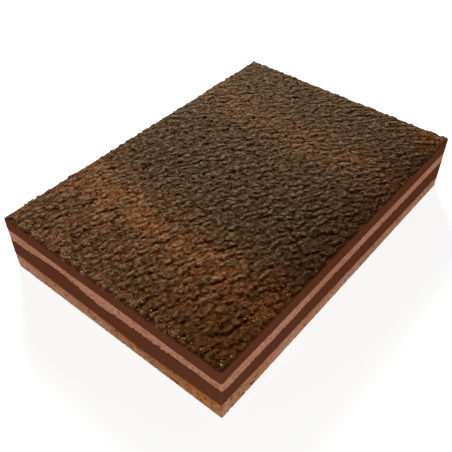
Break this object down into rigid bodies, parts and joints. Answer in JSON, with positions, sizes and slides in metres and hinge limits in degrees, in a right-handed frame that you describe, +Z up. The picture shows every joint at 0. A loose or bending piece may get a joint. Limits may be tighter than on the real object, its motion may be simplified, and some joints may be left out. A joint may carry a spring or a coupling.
{
  "type": "ice cream cake",
  "caption": "Rectangular chocolate slab cake of sponge and ice cream layers under a rough cocoa crumb topping, cut square on all sides, to be portioned and served.",
  "frame": {"origin": "middle of the flat underside, on the surface the cake stands on", "axes": "+X along the long side, +Y along the short side, +Z up through the layers to the crumb topping"},
  "size_m": [0.33, 0.229, 0.0579],
  "materials": {
    "base_sponge": "matte",
    "chocolate_ice_cream": "satin",
    "middle_sponge": "matte",
    "cocoa_crumbs": "matte"
  },
  "bodies": {
    "root": {"base_sponge": "base_sponge", "lower_ice_cream": "chocolate_ice_cream", "middle_sponge": "middle_sponge", "upper_ice_cream": "chocolate_ice_cream", "crumb_topping": "cocoa_crumbs"}
  },
  "joints": []
}
